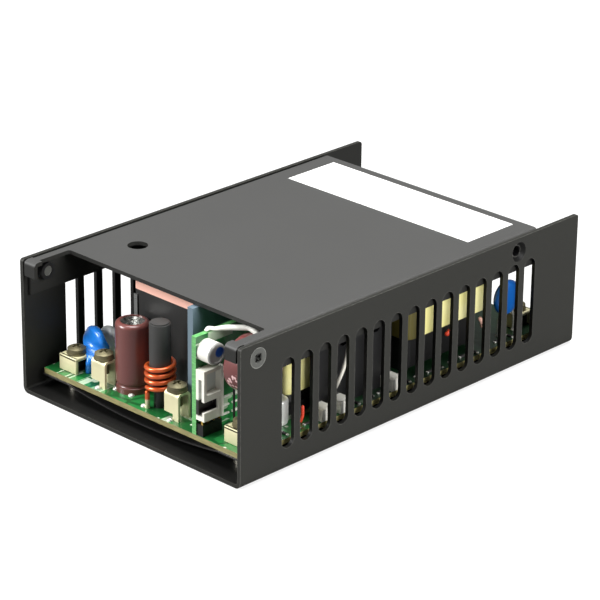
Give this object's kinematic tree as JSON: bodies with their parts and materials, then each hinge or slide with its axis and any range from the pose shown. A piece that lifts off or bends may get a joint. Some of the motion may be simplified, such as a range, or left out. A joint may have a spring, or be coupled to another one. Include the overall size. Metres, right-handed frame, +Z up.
{
  "type": "open frame power supply",
  "caption": "Open frame AC-DC power supply: slotted black sheet chassis and cover round a populated circuit board, open at the output end.",
  "frame": {"origin": "centre of the chassis floor's underside", "axes": "+Z up through the cover; -Y towards the open output end, +Y towards the input end; +X to the right when facing the output end from outside"},
  "size_m": [0.0884, 0.1396, 0.0414],
  "materials": {
    "sheet": "satin black powder coat",
    "cover_sheet": "fine-grained satin dark grey coat",
    "zinc": "zinc plated, bright",
    "tinned": "tinned, warm bright",
    "film": "glossy black film",
    "board": "green solder mask with tracks",
    "post": "tinned block",
    "label": "plain white",
    "can": "bare drawn can",
    "sleeve": "shrunk maroon sleeve",
    "dark_sleeve": "shrunk dark sleeve",
    "ferrite": "dark sintered ferrite",
    "copper": "enamelled copper wire",
    "blue_epoxy": "dipped epoxy",
    "grey_epoxy": "dipped epoxy",
    "moulding": "black moulding",
    "tape": "yellow polyester tape",
    "spring_steel": "plain",
    "pad": "soft pink gap pad",
    "aluminium": "bluish mill finish",
    "black_anodised": "black anodised",
    "daughter": "bright green solder mask",
    "white_plastic": "white moulding",
    "gold": "gilt pins",
    "sealant": "white sealant",
    "pale_wire": "pale insulation",
    "yellow_box": "moulded box",
    "glass": "clear with plated end caps"
  },
  "bodies": {
    "root": {"chassis": "sheet", "base_nuts": "zinc", "standoffs": "zinc", "insulator_film": "film", "main_board": "board", "corner_posts": "post", "board_screws": "zinc", "top_cover": "cover_sheet", "cover_nuts": "zinc", "cover_screws": "black_anodised", "label": "label", "output_terminal_left": "tinned", "output_terminal_right": "tinned", "input_terminal_left": "tinned", "input_terminal_right": "tinned", "terminal_screws": "zinc", "output_capacitor": "can", "output_capacitor_sleeve": "sleeve", "rod_choke_core": "ferrite", "rod_choke_winding": "copper", "rod_choke_foot": "moulding", "blue_disc_capacitor": "blue_epoxy", "grey_disc_capacitor": "grey_epoxy", "rear_disc_capacitor": "blue_epoxy", "transformer_core": "ferrite", "transformer_bobbin": "moulding", "transformer_tape": "tape", "transformer_clips": "spring_steel", "thermal_pad": "pad", "output_heatsink": "aluminium", "rectifiers": "moulding", "rectifier_screws": "zinc", "daughter_board": "daughter", "signal_connector": "white_plastic", "signal_pins": "gold", "pin_header": "moulding", "small_capacitor": "white_plastic", "lying_capacitor": "can", "lying_capacitor_sleeve": "sleeve", "adhesive_bead": "sealant", "silver_capacitor": "can", "standby_transformer_core": "ferrite", "standby_transformer_foot": "moulding", "standby_transformer_tape": "tape", "side_heatsink": "black_anodised", "side_transistors": "moulding", "optocouplers": "white_plastic", "jumper_wire": "pale_wire", "pfc_choke_core": "ferrite", "pfc_choke_bobbin": "moulding", "pfc_choke_tape": "tape", "bulk_capacitor": "can", "bulk_capacitor_sleeve": "dark_sleeve", "bridge_heatsink": "aluminium", "bridge_rectifier": "moulding", "film_capacitor": "yellow_box", "line_filter_core": "ferrite", "line_filter_windings": "copper", "fuse": "glass", "fuse_clips": "spring_steel"}
  },
  "joints": []
}
